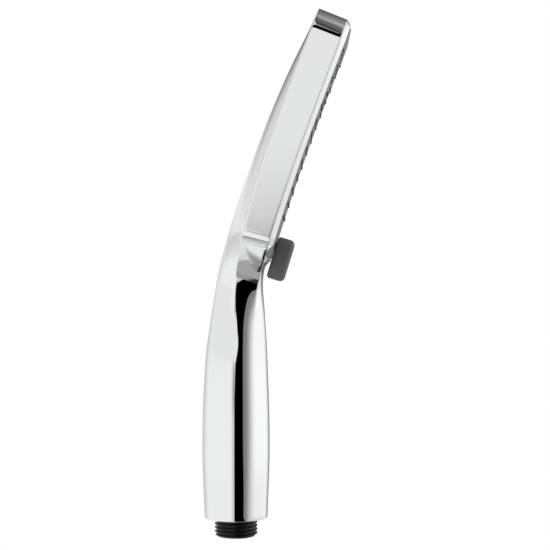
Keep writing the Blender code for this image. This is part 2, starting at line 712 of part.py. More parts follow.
def screws():
    """Four screws that hold the cover and the manifold to the body's posts."""
    shank = SCREW_RADIUS - 0.2 * MM
    neck = COVER_FRONT - 1.0 * MM
    for number, (x, place) in enumerate(SCREW_PLACES, 1):
        screw = lathe("manifold_screw_%d" % number, (
            (shank, SCREW_TIP), (shank, neck), (SCREW_HEAD, neck), (SCREW_HEAD, COVER_FRONT - 0.2 * MM)),
            16, solid=True)
        slot = block("slot", (-0.4 * MM, -3 * MM, COVER_FRONT - 0.6 * MM), (0.4 * MM, 3 * MM, COVER_FRONT))
        cut(screw, slot)
        steel(bend(toward_face(screw, x, place)))


# ---------------------------------------------------------------- selector

def diverter_barrel():
    """Rotary valve: a cup open towards the tube, one window towards the channels, and the spindle."""
    high = MANIFOLD_FRONT - 0.4 * MM
    low = CHAMBER_BACK + 0.9 * MM
    wall = 1.6 * MM
    barrel = rod("diverter_barrel", BARREL_RADIUS, low, high, SIDES)
    cut(barrel, rod("inside", BARREL_RADIUS - wall, low + wall, high - wall, SIDES))
    toward_face(barrel)
    lane = PORT_WIDTH / 2
    reach = BARREL_RADIUS + 3 * MM
    window = block("window", (-lane, -(high - wall), PIVOT + 5 * MM), (lane, -CHANNEL_BACK, PIVOT + reach))
    inlet = block("inlet", (-6 * MM, -4 * MM, PIVOT - reach), (6 * MM, -(low + wall), PIVOT - 4 * MM))
    cut(barrel, window, inlet)
    spindle = toward_face(rod("spindle", SPINDLE_RADIUS, high - 1.0 * MM, LEVER_BACK + 3.0 * MM))
    add(barrel, spindle)
    cut(barrel, toward_face(rod("pilot", 0.9 * MM, LEVER_BACK - 2 * MM, LEVER_FRONT, 12)))
    return plastic(stand(barrel, PIVOT), (0.15, 0.15, 0.16))


def selector_seals():
    """Seal round the spindle, and the washer that presses the barrel forward against the cover."""
    washer = pipe("barrel_spring_washer", 6.0 * MM, 8.6 * MM, CHAMBER_BACK + GAP, CHAMBER_BACK + 2 * GAP)
    steel(stand(toward_face(washer), PIVOT))
    seal = o_ring("spindle_seal", SPINDLE_RADIUS + 0.75 * MM, 0.4 * MM, COVER_BACK + 0.65 * MM)
    rubber(stand(toward_face(seal), PIVOT))


def lever_outline(inset):
    """Plan of the selector lever: a round boss on the pivot that widens to a rounded grip."""
    corner = 3.2 * MM - inset
    half = LEVER_HALF_WIDTH - inset
    boss = LEVER_BOSS - inset
    low = LEVER_END + inset
    points = [(boss * cos(pi * k / 8), PIVOT + boss * sin(pi * k / 8)) for k in range(9)]
    for side, start in ((-1, pi), (1, 1.5 * pi)):
        for k in range(5):
            angle = start + pi / 2 * k / 4
            points.append((side * (half - corner) + corner * cos(angle), low + corner + corner * sin(angle)))
    return points


def selector_lever():
    """Grey lever before the lower end of the spray face, its edges rounded."""
    rings = []
    for v, inset in ((LEVER_BACK, 1.5), (LEVER_BACK + 0.5 * MM, 0.5), (LEVER_BACK + 1.5 * MM, 0.0),
                     (LEVER_FRONT - 2.6 * MM, 0.0), (LEVER_FRONT - 0.8 * MM, 0.8), (LEVER_FRONT, 2.6)):
        rings.append([(x, -v, z) for x, z in lever_outline(inset * MM)])
    lever = stacked("selector_lever", rings)
    cut(lever, toward_face(rod("socket", SPINDLE_RADIUS + 0.1 * MM, LEVER_BACK - GAP, LEVER_BACK + 3.3 * MM)))
    cut(lever, toward_face(rod("shank", SCREW_RADIUS, LEVER_BACK + 3 * MM, LEVER_FRONT, 12)))
    cut(lever, toward_face(rod("sink", 2.1 * MM, LEVER_FRONT - 4.6 * MM, LEVER_FRONT + GAP, 16)))
    plastic(stand(lever, PIVOT), (0.2, 0.205, 0.21))
    screw = lathe("lever_screw", (
        (0.7 * MM, LEVER_BACK - 1.2 * MM), (0.7 * MM, LEVER_FRONT - 4.3 * MM),
        (1.8 * MM, LEVER_FRONT - 4.3 * MM), (1.8 * MM, LEVER_FRONT - 2.6 * MM)), 12, solid=True)
    steel(stand(toward_face(screw), PIVOT))
    cap = rod("lever_screw_cap", 1.8 * MM, LEVER_FRONT - 2.2 * MM, LEVER_FRONT - 0.3 * MM, 16)
    plastic(stand(toward_face(cap), PIVOT), (0.2, 0.205, 0.21))


# ---------------------------------------------------------------- massage turbine

def turbine():
    """Rotor that breaks the massage jets into pulses, on its own pin."""
    low = CHANNEL_BACK + 0.5 * MM
    high = MANIFOLD_FRONT - 0.4 * MM
    rotor = pipe("turbine_rotor", 1.1 * MM, 2.4 * MM, low, high)
    for k in range(6):
        vane = block("vane", (2.0 * MM, -0.4 * MM, low), (TURBINE_RADIUS, 0.4 * MM, high - 0.6 * MM))
        vane.data.transform(Matrix.Rotation(tau * k / 6, 4, "Z"))
        add(rotor, vane)
    plastic(stand(toward_face(rotor, 0, TURBINE_PLACE), TURBINE_PLACE), (0.7, 0.2, 0.1))
    pin = rod("turbine_pin", 0.8 * MM, CHANNEL_BACK + 0.1 * MM, MANIFOLD_FRONT, 12)
    steel(stand(toward_face(pin, 0, TURBINE_PLACE), TURBINE_PLACE))


def clear_scene():
    for old in list(bpy.data.objects):
        bpy.data.objects.remove(old)


def build():
    clear_scene()
    body_shell()
    inlet_nipple()
    inlet_parts()
    check_valve()
    waterway_tube()
    tube_support()
    manifold_body()
    manifold_cover()
    nozzle_mat()
    face_plate()
    screws()
    diverter_barrel()
    selector_seals()
    selector_lever()
    turbine()


build()
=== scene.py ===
"""Looks of the handheld shower head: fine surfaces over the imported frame, materials, studio and camera."""
from math import atan2, cos, floor, hypot, pi, radians, sin, tau

import bpy
import bmesh
from mathutils import Matrix, Vector


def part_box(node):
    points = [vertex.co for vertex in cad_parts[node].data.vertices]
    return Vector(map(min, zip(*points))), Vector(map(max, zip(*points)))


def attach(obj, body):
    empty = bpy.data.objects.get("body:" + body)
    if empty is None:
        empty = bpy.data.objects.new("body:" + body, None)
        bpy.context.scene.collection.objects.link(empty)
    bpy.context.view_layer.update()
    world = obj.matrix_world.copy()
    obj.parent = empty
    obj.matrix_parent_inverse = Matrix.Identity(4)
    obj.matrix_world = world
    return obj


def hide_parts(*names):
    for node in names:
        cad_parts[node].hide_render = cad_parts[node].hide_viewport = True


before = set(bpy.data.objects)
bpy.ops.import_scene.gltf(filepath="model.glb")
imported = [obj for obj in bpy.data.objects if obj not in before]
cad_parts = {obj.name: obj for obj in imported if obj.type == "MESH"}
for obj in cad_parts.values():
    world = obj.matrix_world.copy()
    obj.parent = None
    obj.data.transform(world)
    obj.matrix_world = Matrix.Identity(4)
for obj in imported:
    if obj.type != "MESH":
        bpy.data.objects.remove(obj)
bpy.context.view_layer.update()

MM = 0.001
HOST = "shower_body"
SELECTOR = "selector"

# the frame's own measures
SHELL_LOW, SHELL_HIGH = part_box("body_shell")
NIPPLE_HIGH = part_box("inlet_nipple")[1]

# spine of the body, as the CAD bends it
NECK_BEND_START = 116.3 * MM
NECK_BEND_RADIUS = 64.0 * MM
NECK_BEND_ANGLE = radians(16.5)
NECK_BEND_END = NECK_BEND_START + NECK_BEND_RADIUS * NECK_BEND_ANGLE
HEAD_CURVE_RADIUS = 1167.0 * MM

# outer shape of the body along the spine
HANDLE_END = SHELL_LOW.z
HEAD_END = 259.4 * MM
HEAD_HALF_WIDTH = SHELL_HIGH.x
HEAD_CORNER = 14.0 * MM
RIM_FRONT = 11.4 * MM
LIP_RISE = 2.2 * MM
LIP_WIDTH = 3.0 * MM
SQUARING_START = 100.0 * MM
SHOULDER_START = 121.0 * MM
SHOULDER_END = 146.0 * MM
SHOULDER_POWER = 1.8
SHOULDER_SOFTNESS = 0.13
NECK_HALF_WIDTH = 12.0 * MM
SIDE_DRAFT = 0.045
EDGE = 0.5 * MM
WALL = 1.8 * MM
GAP = 0.3 * MM
BACK_PROFILE = (
    (HANDLE_END, 15.4 * MM), (45 * MM, 16.5 * MM), (86 * MM, 15.0 * MM), (109 * MM, 11.9 * MM),
    (122 * MM, 9.9 * MM), (133 * MM, 9.6 * MM), (150 * MM, 9.8 * MM), (195 * MM, 9.4 * MM),
    (230 * MM, 7.6 * MM), (HEAD_END, 4.4 * MM))
FRONT_PROFILE = (
    (HANDLE_END, 15.4 * MM), (45 * MM, 16.5 * MM), (86 * MM, 15.4 * MM), (109 * MM, 14.1 * MM),
    (122 * MM, 13.0 * MM), (133 * MM, 12.0 * MM), (150 * MM, RIM_FRONT), (240 * MM, RIM_FRONT),
    (HEAD_END, RIM_FRONT - 0.9 * MM))
WIDTH_PROFILE = (
    (HANDLE_END, 15.4 * MM), (45 * MM, 16.5 * MM), (86 * MM, 14.8 * MM), (100 * MM, 13.0 * MM),
    (109 * MM, 12.2 * MM), (SHOULDER_START, NECK_HALF_WIDTH))
SIDE_BAND = (
    (SHOULDER_END, 13.2 * MM), (160 * MM, 14.4 * MM), (180 * MM, 14.9 * MM), (230 * MM, 15.0 * MM),
    (HEAD_END, 14.6 * MM))

# spray face
FACE_START = 139.5 * MM
FACE_END = HEAD_END - LIP_WIDTH
FACE_HALF_WIDTH = HEAD_HALF_WIDTH - LIP_WIDTH
FACE_CORNER = HEAD_CORNER - LIP_WIDTH
FACE_FRONT = RIM_FRONT + LIP_RISE
FACE_BACK = FACE_FRONT - 1.8 * MM
MAT_FRONT = FACE_BACK - GAP
MAT_BACK = MAT_FRONT - 1.2 * MM
MOUTH_FLOOR = MAT_BACK - 3.0 * MM
NOZZLE_TIP = FACE_FRONT + 0.6 * MM
NOZZLE_RADIUS = 1.0 * MM
NOZZLE_COLUMNS = 5
NOZZLE_PITCH_X = 12.0 * MM
NOZZLE_ROWS = 13
NOZZLE_PITCH_Z = 7.0 * MM
FIRST_ROW = 161.0 * MM
TURBINE_PLACE = 222.0 * MM
TURBINE_RADIUS = 7.0 * MM
PIVOT = 146.5 * MM
SPINDLE_RADIUS = 2.0 * MM

# selector lever
LEVER_BACK = FACE_FRONT + 0.5 * MM
LEVER_FRONT = LEVER_BACK + 8.8 * MM
LEVER_END = 130.6 * MM
LEVER_BOSS = 5.0 * MM
LEVER_HALF_WIDTH = 6.5 * MM
LEVER_CORNER = 3.2 * MM
CAP_RADIUS = 1.8 * MM

# hose inlet
THREAD_RADIUS = 20.955 / 2 * MM
THREAD_ROOT = 18.631 / 2 * MM
THREAD_PITCH = 25.4 / 14 * MM
THREAD_LENGTH = 8.6 * MM
INLET_BORE = 7.4 * MM
COLLAR_RADIUS = NIPPLE_HIGH.x
COLLAR_TOP = 15.0 * MM
SLEEVE_RADIUS = 9.0 * MM
BORE_END = 31.0 * MM
PORT_RADIUS = 3.6 * MM
SOCKET_RADIUS = 5.8 * MM
SOCKET_FLOOR = 32.7 * MM
NIPPLE_TOP = NIPPLE_HIGH.z


# ---------------------------------------------------------------- spine and sections

def smoothstep(low, high, value):
    t = min(1.0, max(0.0, (value - low) / (high - low)))
    return t * t * (3 - 2 * t)


def along(profile, place):
    """A smooth curve through the profile's points, flat beyond its ends."""
    if place <= profile[0][0]:
        return profile[0][1]
    if place >= profile[-1][0]:
        return profile[-1][1]
    slopes = []
    for i in range(len(profile)):
        a = profile[max(0, i - 1)]
        b = profile[min(len(profile) - 1, i + 1)]
        slopes.append((b[1] - a[1]) / (b[0] - a[0]))
    i = max(k for k in range(len(profile) - 1) if profile[k][0] <= place)
    (x0, y0), (x1, y1) = profile[i], profile[i + 1]
    h = x1 - x0
    t = (place - x0) / h
    return (y0 * (1 + 2 * t) * (1 - t) ** 2 + slopes[i] * h * t * (1 - t) ** 2
            + y1 * t * t * (3 - 2 * t) + slopes[i + 1] * h * t * t * (t - 1))


def spine(place):
    """Forward offset, height and tilt of the spine at a place along it."""
    if place <= NECK_BEND_START:
        return 0.0, place, 0.0
    tilt = min(place - NECK_BEND_START, NECK_BEND_END - NECK_BEND_START) / NECK_BEND_RADIUS
    forward = NECK_BEND_RADIUS * (1 - cos(tilt))
    height = NECK_BEND_START + NECK_BEND_RADIUS * sin(tilt)
    if place > NECK_BEND_END:
        start = tilt
        tilt = start + (place - NECK_BEND_END) / HEAD_CURVE_RADIUS
        forward += HEAD_CURVE_RADIUS * (cos(start) - cos(tilt))
        height += HEAD_CURVE_RADIUS * (sin(tilt) - sin(start))
    return forward, height, tilt


def bent(point):
    """Where a point on the straight spine goes when the spine is bent."""
    forward, height, tilt = spine(point.z)
    return Vector((point.x, point.y * cos(tilt) - forward, height + point.y * sin(tilt)))


def frame_at(place):
    """The rigid move that carries pieces near a place on the straight spine to the bent one."""
    forward, height, tilt = spine(place)
    move = Matrix.Translation((0, -forward, height)) @ Matrix.Rotation(tilt, 4, "X")
    return move @ Matrix.Translation((0, 0, -place))


def shoulder_share(rise):
    """Share of the head's extra width at a height in the shoulders: hollow, then rounded off."""
    low = 1 - SHOULDER_SOFTNESS
    high = 1 + SHOULDER_SOFTNESS
    if rise <= low:
        return max(0.0, rise) ** SHOULDER_POWER
    if rise >= high:
        return 1.0
    t = (rise - low) / (high - low)
    slope = SHOULDER_POWER * low ** (SHOULDER_POWER - 1) * (high - low)
    return (low ** SHOULDER_POWER * (1 + 2 * t) + slope * t) * (1 - t) ** 2 + t * t * (3 - 2 * t)


def half_width(place):
    """Half of the body's width: handle and neck, the shoulders, the head and its rounded top corners."""
    shoulder = shoulder_share((place - SHOULDER_START) / (SHOULDER_END - SHOULDER_START))
    width = along(WIDTH_PROFILE, place) + (HEAD_HALF_WIDTH - NECK_HALF_WIDTH) * shoulder
    past = place - (HEAD_END - HEAD_CORNER)
    if past > 0:
        width -= HEAD_CORNER - (max(0.0, HEAD_CORNER ** 2 - past ** 2)) ** 0.5
    return width


def lip_rise(place):
    """How far the lip stands before the front edge: none in the neck or at the head's very end."""
    ends = min(1.0, max(0.0, (HEAD_END - place) / LIP_WIDTH))
    return LIP_RISE * ends * smoothstep(FACE_START - 5 * MM, FACE_START + 1 * MM, place)


def half_section(width, front, back, band, rise):
    """Half of the head's outline as (circle angle, x, v): front, lip, edge, flat side, edge, crown.

    The circle angle says where the point goes in the round handle: front and lip lie below 45 degrees,
    the flat side below 86 and the crown up to 180.
    """
    crown = max(0.0, back + front - band)
    half = []
    for i in range(9):
        half.append((pi / 4 * i / 16, (width - LIP_WIDTH) * i / 9, front + rise))
    for i in range(5):
        t = i / 5
        x = width - LIP_WIDTH + (LIP_WIDTH - EDGE) * t
        half.append((pi / 4 * (9 + i) / 16, x, front + rise * (1 - t)))
    slope = atan2(rise, LIP_WIDTH)
    for i in range(6):
        turn = slope + (pi / 2 - slope) * i / 5
        half.append((pi / 4 + pi / 40 * i / 5, width - EDGE + EDGE * sin(turn),
                     front - EDGE + EDGE * cos(turn)))
    side_low = front - band
    for i in range(1, 12):
        half.append((pi / 4 * (1.1 + 0.8 * i / 12), width,
                     front - EDGE + (side_low + 2 * EDGE - front) * i / 12))
    fall = 2 * crown / max(width, 1e-6)
    for i in range(5):
        turn = (pi / 2 - atan2(fall, 1)) * i / 4
        x = width - EDGE * (1 - cos(turn))
        half.append((pi / 2 - pi / 40 + pi / 24 * i / 4, x, side_low + EDGE - EDGE * sin(turn)))
    foot = half[-1]
    for i in range(1, 31):
        x = foot[1] * (1 - i / 30)
        v = foot[2] - (1 - (x / foot[1]) ** 2) * (back + foot[2])
        half.append((foot[0] + (pi - foot[0]) * i / 30, x, v))
    return half


def section(place, inset=0.0):
    """The body's outline across the spine: round in the handle, flat-sided and crowned in the head."""
    box = smoothstep(SQUARING_START, SHOULDER_END, place)
    width = half_width(place) - inset
    front = along(FRONT_PROFILE, place) - inset
    back = along(BACK_PROFILE, place) - inset
    band = along(SIDE_BAND, place) - 2 * inset
    draft = SIDE_DRAFT * smoothstep(SHOULDER_END - 3 * MM, SHOULDER_END + 4 * MM, place)
    points = []
    for angle, x, v in half_section(width, front, back, band, lip_rise(place)):
        x -= draft * min(max(front - v, 0.0), band) * x / width
        round_v = (front if cos(angle) > 0 else back) * cos(angle)
        points.append((width * sin(angle) * (1 - box) + x * box, round_v * (1 - box) + v * box))
    return points + [(-x, v) for x, v in reversed(points[1:-1])]


# ---------------------------------------------------------------- mesh helpers

def new_piece(name, points, faces):
    mesh = bpy.data.meshes.new(name)
    mesh.from_pydata([tuple(p) for p in points], [], faces)
    piece = bpy.data.objects.new(name, mesh)
    bpy.context.scene.collection.objects.link(piece)
    return tidy(piece)


def tidy(piece):
    """Joins doubled points and turns every face outwards."""
    work = bmesh.new()
    work.from_mesh(piece.data)
    bmesh.ops.remove_doubles(work, verts=work.verts, dist=1e-6)
    bmesh.ops.recalc_face_normals(work, faces=work.faces)
    work.to_mesh(piece.data)
    work.free()
    return piece


def stacked(name, rings, closed=False):
    """A skin over rings of equally many points, capped at both ends or closed on itself."""
    count = len(rings[0])
    points = [p for ring in rings for p in ring]
    faces = []
    for i in range(len(rings) if closed else len(rings) - 1):
        a = i * count
        b = (i + 1) % len(rings) * count
        for j in range(count):
            k = (j + 1) % count
            faces.append((a + j, a + k, b + k, b + j))
    if not closed:
        faces.append(tuple(range(count)))
        faces.append(tuple((len(rings) - 1) * count + j for j in range(count)))
    return new_piece(name, points, faces)


def circle(radius, height, sides):
    return [(radius * cos(tau * j / sides), radius * sin(tau * j / sides), height) for j in range(sides)]


def lathe(name, profile, sides=48, solid=False):
    """A profile of (radius, height) points turned round Z."""
    rings = [circle(radius, height, sides) for radius, height in profile]
    return stacked(name, rings, closed=not solid)


def rod(name, radius, low, high, sides=32):
    return lathe(name, ((radius, low), (radius, high)), sides, solid=True)


def rounded_outline(half, low, high, corner, steps=12):
    """A rounded rectangle of (x, z) points across the spray face."""
    points = []
    for x, z, start in ((half - corner, high - corner, 0), (corner - half, high - corner, 1),
                        (corner - half, low + corner, 2), (half - corner, low + corner, 3)):
        for k in range(steps + 1):
            angle = pi / 2 * (start + k / steps)
            points.append((x + corner * cos(angle), z + corner * sin(angle)))
    return points


def face_slab(name, levels, low=FACE_START):
    """Rounded rectangle across the face, stacked through (inset, distance before the spine) levels."""
    rings = []
    for inset, v in levels:
        outline = rounded_outline(FACE_HALF_WIDTH - inset, low + inset, FACE_END - inset,
                                  FACE_CORNER - inset)
        rings.append([(x, -v, z) for x, z in outline])
    return stacked(name, rings)


def toward_face(piece, x=0.0, place=PIVOT):
    """Turns a piece made along Z to stand along the face's normal, heights counted before the spine."""
    piece.data.transform(Matrix.Translation((x, 0, place)) @ Matrix.Rotation(pi / 2, 4, "X"))
    return piece


def merged(name, pieces):
    """Separate closed pieces gathered in one mesh."""
    work = bmesh.new()
    for piece in pieces:
        work.from_mesh(piece.data)
        bpy.data.objects.remove(piece)
    mesh = bpy.data.meshes.new(name)
    work.to_mesh(mesh)
    work.free()
    joined = bpy.data.objects.new(name, mesh)
    bpy.context.scene.collection.objects.link(joined)
    return joined


def combine(piece, other, operation):
    """Applies one exact Boolean and takes the second piece away."""
    step = piece.modifiers.new(operation.lower(), "BOOLEAN")
    step.operation = operation
    step.solver = "EXACT"
    step.object = other
    bpy.context.view_layer.update()
    shape = bpy.data.meshes.new_from_object(piece.evaluated_get(bpy.context.evaluated_depsgraph_get()))
    piece.modifiers.clear()
    piece.data = shape
    bpy.data.objects.remove(other)
    return tidy(piece)


def bend(piece, step=4 * MM):
    """Bends a finished piece along the spine, with rows of points close enough to stay smooth."""
    work = bmesh.new()
    work.from_mesh(piece.data)
    low = min(v.co.z for v in work.verts)
    high = max(v.co.z for v in work.verts)
    level = max(low, NECK_BEND_START) + step / 2
    while level < high - step / 4:
        parts = work.verts[:] + work.edges[:] + work.faces[:]
        bmesh.ops.bisect_plane(work, geom=parts, dist=1e-6, plane_co=(0, 0, level), plane_no=(0, 0, 1))
        level += step
    bmesh.ops.triangulate(work, faces=[f for f in work.faces if len(f.verts) > 4])
    for vert in work.verts:
        vert.co = bent(vert.co)
    work.to_mesh(piece.data)
    work.free()
    return piece


def stand(piece, place=PIVOT):
    piece.data.transform(frame_at(place))
    return piece


def smooth(piece, angle=32):
    piece.data.shade_smooth()
    piece.data.set_sharp_from_angle(angle=radians(angle))
    return piece


def place_piece(piece, material, body, replaced=()):
    """Dresses a piece, hangs it on its body and hides the CAD nodes it stands for."""
    piece.data.materials.clear()
    piece.data.materials.append(material)
    smooth(piece)
    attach(piece, body)
    if replaced:
        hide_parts(*replaced)
    return piece


# ---------------------------------------------------------------- materials

def node_material(name):
    material = bpy.data.materials.new(name)
    material.use_nodes = True
    tree = material.node_tree
    return material, tree, tree.nodes["Principled BSDF"]


def noise(tree, scale, detail=3.0):
    """Noise in the piece's own coordinates."""
    place = tree.nodes.new("ShaderNodeTexCoord")
    texture = tree.nodes.new("ShaderNodeTexNoise")
    texture.inputs["Scale"].default_value = scale
    texture.inputs["Detail"].default_value = detail
    tree.links.new(place.outputs["Object"], texture.inputs["Vector"])
    return texture


def ranged(tree, source, low, high, start=0.3, end=0.7):
    """A map of a noise to a range of values."""
    spread = tree.nodes.new("ShaderNodeMapRange")
    spread.inputs["From Min"].default_value = start
    spread.inputs["From Max"].default_value = end
    spread.inputs["To Min"].default_value = low
    spread.inputs["To Max"].default_value = high
    tree.links.new(source.outputs["Fac"], spread.inputs["Value"])
    return spread


def bumped(tree, shader, source, strength, distance):
    bump = tree.nodes.new("ShaderNodeBump")
    bump.inputs["Strength"].default_value = strength
    bump.inputs["Distance"].default_value = distance
    tree.links.new(source.outputs["Fac"], bump.inputs["Height"])
    tree.links.new(bump.outputs["Normal"], shader.inputs["Normal"])


def tinted(tree, shader, source, dark, light):
    """Colour that wanders between two shades with a noise."""
    mix = tree.nodes.new("ShaderNodeMix")
    mix.data_type = "RGBA"
    mix.inputs["A"].default_value = (*dark, 1)
    mix.inputs["B"].default_value = (*light, 1)
    spread = ranged(tree, source, 0.0, 1.0)
    tree.links.new(spread.outputs["Result"], mix.inputs["Factor"])
    tree.links.new(mix.outputs["Result"], shader.inputs["Base Color"])


def chrome_material(name, haze):
    """Plating: mirror-like or hazier, with the faint waviness of plated plastic."""
    material, tree, shader = node_material(name)
    shader.inputs["Metallic"].default_value = 1.0
    tinted(tree, shader, noise(tree, 14.0, 2.0), (0.93, 0.935, 0.94), (0.96, 0.962, 0.965))
    gloss = ranged(tree, noise(tree, 260.0, 5.0), haze, haze + 0.03)
    tree.links.new(gloss.outputs["Result"], shader.inputs["Roughness"])
    bumped(tree, shader, noise(tree, 30.0, 1.0), 0.04, 0.0002)
    return material


def plastic_material(name, dark, light, smoothness, grain=900.0, depth=0.25):
    """Moulded plastic with a fine grain and a slightly uneven gloss."""
    material, tree, shader = node_material(name)
    tinted(tree, shader, noise(tree, 60.0, 4.0), dark, light)
    gloss = ranged(tree, noise(tree, 180.0, 4.0), smoothness - 0.05, smoothness + 0.05)
    tree.links.new(gloss.outputs["Result"], shader.inputs["Roughness"])
    bumped(tree, shader, noise(tree, grain, 3.0), depth, 0.00004)
    return material


def rubber_material(name, dark, light):
    """Soft silicone or rubber: dull, with a faint sheen."""
    material = plastic_material(name, dark, light, 0.6, 1400.0, 0.4)
    material.node_tree.nodes["Principled BSDF"].inputs["Sheen Weight"].default_value = 0.15
    return material


def steel_material(name):
    """Bright steel with fine drawn marks."""
    material, tree, shader = node_material(name)
    shader.inputs["Metallic"].default_value = 1.0
    tinted(tree, shader, noise(tree, 120.0, 3.0), (0.52, 0.52, 0.53), (0.64, 0.64, 0.65))
    gloss = ranged(tree, noise(tree, 700.0, 2.0), 0.22, 0.36)
    tree.links.new(gloss.outputs["Result"], shader.inputs["Roughness"])
    bumped(tree, shader, noise(tree, 1500.0, 2.0), 0.2, 0.00002)
    return material


# ---------------------------------------------------------------- body

def body_rows():
    """Places of the body's rows: close together where it turns, wide apart where it runs straight."""
    stretches = ((HANDLE_END + EDGE, NECK_BEND_START, 48), (NECK_BEND_START, NECK_BEND_END, 24),
                 (NECK_BEND_END, SHOULDER_END + 5 * MM, 44),
                 (SHOULDER_END + 5 * MM, HEAD_END - HEAD_CORNER, 36))
    rows = []
    for low, high, count in stretches:
        rows += [low + (high - low) * k / count for k in range(count)]
    reach = HEAD_CORNER - EDGE
    rows += [HEAD_END - HEAD_CORNER + reach * sin(pi / 2 * k / 24) for k in range(25)]
    return rows


def is_side_edge(face):
    """Whether a face of the straight skin lies on the rounding before or behind the head's flat side."""
    x, y, place = face.center
    if place < SHOULDER_END or place > HEAD_END - 2 * MM:
        return False
    if abs(x) < half_width(place) - 2 * EDGE - 1 * MM or abs(face.normal.y) <= 0.02:
        return False
    front = along(FRONT_PROFILE, place)
    low = front - along(SIDE_BAND, place)
    reach = 0.9 * EDGE
    return abs(-y - front + EDGE / 2) < reach or abs(-y - low - EDGE / 2) < reach


def body_shell(chrome, edge_chrome):
    """Chrome housing of handle and head: one skin with rounded edges, hollow, open at the spray face."""
    rings = []
    for k in range(5):
        turn = pi / 2 * k / 5
        place = HANDLE_END + EDGE * (1 - cos(turn))
        rings.append([(x, -v, place) for x, v in section(place, EDGE * (1 - sin(turn)))])
    for place in body_rows():
        rings.append([(x, -v, place) for x, v in section(place)])
    for k in range(1, 6):
        turn = pi / 2 * k / 5
        place = HEAD_END - EDGE * (1 - sin(turn))
        rings.append([(x, -v, place) for x, v in section(place, EDGE * (1 - cos(turn)))])
    shell = stacked("body_skin", rings)
    hollow_rows = [HANDLE_END - GAP] + body_rows()[8:-6:4] + [HEAD_END - 2 * WALL]
    hollow = stacked("hollow", [[(x, -v, row) for x, v in section(row, WALL)] for row in hollow_rows])
    combine(shell, hollow, "DIFFERENCE")
    bevel = 0.3 * MM
    mouth = face_slab("mouth", ((0, MOUTH_FLOOR), (0, FACE_FRONT - bevel), (-bevel, FACE_FRONT),
                                (-bevel, 20 * MM)))
    combine(shell, mouth, "DIFFERENCE")
    edges = [face.index for face in shell.data.polygons if is_side_edge(face)]
    place_piece(shell, chrome, HOST, ("body_shell",))
    shell.data.materials.append(edge_chrome)
    for index in edges:
        shell.data.polygons[index].material_index = 1
    bend(shell)
    return smooth(shell)


# ---------------------------------------------------------------- spray face

def nozzle_places():
    """Centres of the spray nozzles: straight rows, every second one set in by half a pitch."""
    places = []
    for row in range(NOZZLE_ROWS):
        inner = row % 2
        for column in range(NOZZLE_COLUMNS - inner):
            x = (column - (NOZZLE_COLUMNS - inner - 1) / 2) * NOZZLE_PITCH_X
            place = FIRST_ROW + row * NOZZLE_PITCH_Z
            if hypot(x, place - TURBINE_PLACE) > TURBINE_RADIUS + 3 * MM:
                places.append((x, place))
    ring = 4.5 * MM
    places += [(ring * cos(tau * k / 6), TURBINE_PLACE + ring * sin(tau * k / 6)) for k in range(6)]
    return places


def face_plate(material):
    """Grey plate with its edge rounded over and a round hole for every nozzle."""
    lip = 0.6 * MM
    levels = [(GAP, FACE_BACK), (GAP, FACE_FRONT - lip)]
    for k in range(1, 5):
        turn = pi / 2 * k / 4
        levels.append((GAP + lip * (1 - cos(turn)), FACE_FRONT - lip * (1 - sin(turn))))
    plate = face_slab("spray_plate", levels)
    low = FACE_BACK - GAP
    high = FACE_FRONT + GAP
    radius = NOZZLE_RADIUS + 0.25 * MM
    profile = ((radius, low), (radius, FACE_FRONT - 0.3 * MM), (radius + 0.4 * MM, high))
    flare = lathe("hole", profile, 20, solid=True)
    holes = []
    for x, place in nozzle_places():
        hole = bpy.data.objects.new("hole", flare.data.copy())
        holes.append(toward_face(hole, x, place))
    bpy.data.objects.remove(flare)
    holes.append(toward_face(rod("bore", SPINDLE_RADIUS + GAP, low, high)))
    combine(plate, merged("holes", holes), "DIFFERENCE")
    return place_piece(bend(plate, 12 * MM), material, HOST, ("face_plate",))


def nozzle(x, place):
    """One silicone nozzle: a cone with a collar at its foot, a rounded lip and an open bore."""
    r = NOZZLE_RADIUS
    profile = ((0.3 * MM, MAT_BACK + 0.4 * MM), (0.3 * MM, NOZZLE_TIP - 0.2 * MM), (0.42 * MM, NOZZLE_TIP),
               (0.6 * MM, NOZZLE_TIP), (0.72 * MM, NOZZLE_TIP - 0.12 * MM), (r, FACE_FRONT - 0.1 * MM),
               (r, MAT_BACK + 0.4 * MM))
    return toward_face(lathe("nozzle", profile, 16), x, place)


def nozzle_mat(material):
    """Silicone mat and its nozzles."""
    mat = face_slab("mat", ((2 * MM, MAT_BACK), (2 * MM, MAT_FRONT)), PIVOT + 6 * MM)
    whole = merged("nozzle_field", [mat] + [nozzle(x, place) for x, place in nozzle_places()])
    return place_piece(bend(whole, 12 * MM), material, HOST, ("nozzle_mat",))


# ---------------------------------------------------------------- selector lever

def lever_outline(inset):
    """Plan of the selector lever: a round boss on the pivot that widens to a rounded grip."""
    corner = LEVER_CORNER - inset
    half = LEVER_HALF_WIDTH - inset
    boss = LEVER_BOSS - inset
    low = LEVER_END + inset
    points = [(boss * cos(pi * k / 24), PIVOT + boss * sin(pi * k / 24)) for k in range(25)]
    for side, start in ((-1, pi), (1, 1.5 * pi)):
        for k in range(9):
            angle = start + pi / 2 * k / 8
            points.append((side * (half - corner) + corner * cos(angle),
                           low + corner + corner * sin(angle)))
    return points


